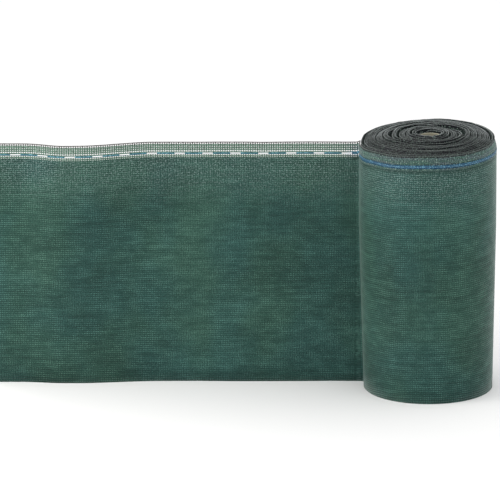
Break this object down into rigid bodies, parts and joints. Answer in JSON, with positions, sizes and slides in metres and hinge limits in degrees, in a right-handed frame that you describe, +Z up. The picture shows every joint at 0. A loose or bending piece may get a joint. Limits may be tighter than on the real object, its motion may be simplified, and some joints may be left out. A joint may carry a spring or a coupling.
{
  "type": "rolled shade netting",
  "caption": "Upright roll of knitted shade netting on a hollow paperboard core, its slack last turn pulled off to one side as an upright sheet with buttonhole slits along the upper edge.",
  "frame": {"origin": "on the surface that the roll stands on, under the middle of the part's box", "axes": "+X along the loose end towards the roll, +Y from the marked face of the loose end to its back, +Z up along the core"},
  "size_m": [1.012, 0.2738, 0.5261],
  "materials": {
    "netting": "matt knitted polyethylene tape, dark green, with a blue marker thread along the upper edge",
    "paperboard": "spirally wound grey-brown paperboard, uncoated"
  },
  "bodies": {
    "root": {"core_tube": "paperboard", "net_roll": "netting", "loose_end": "netting"}
  },
  "joints": []
}
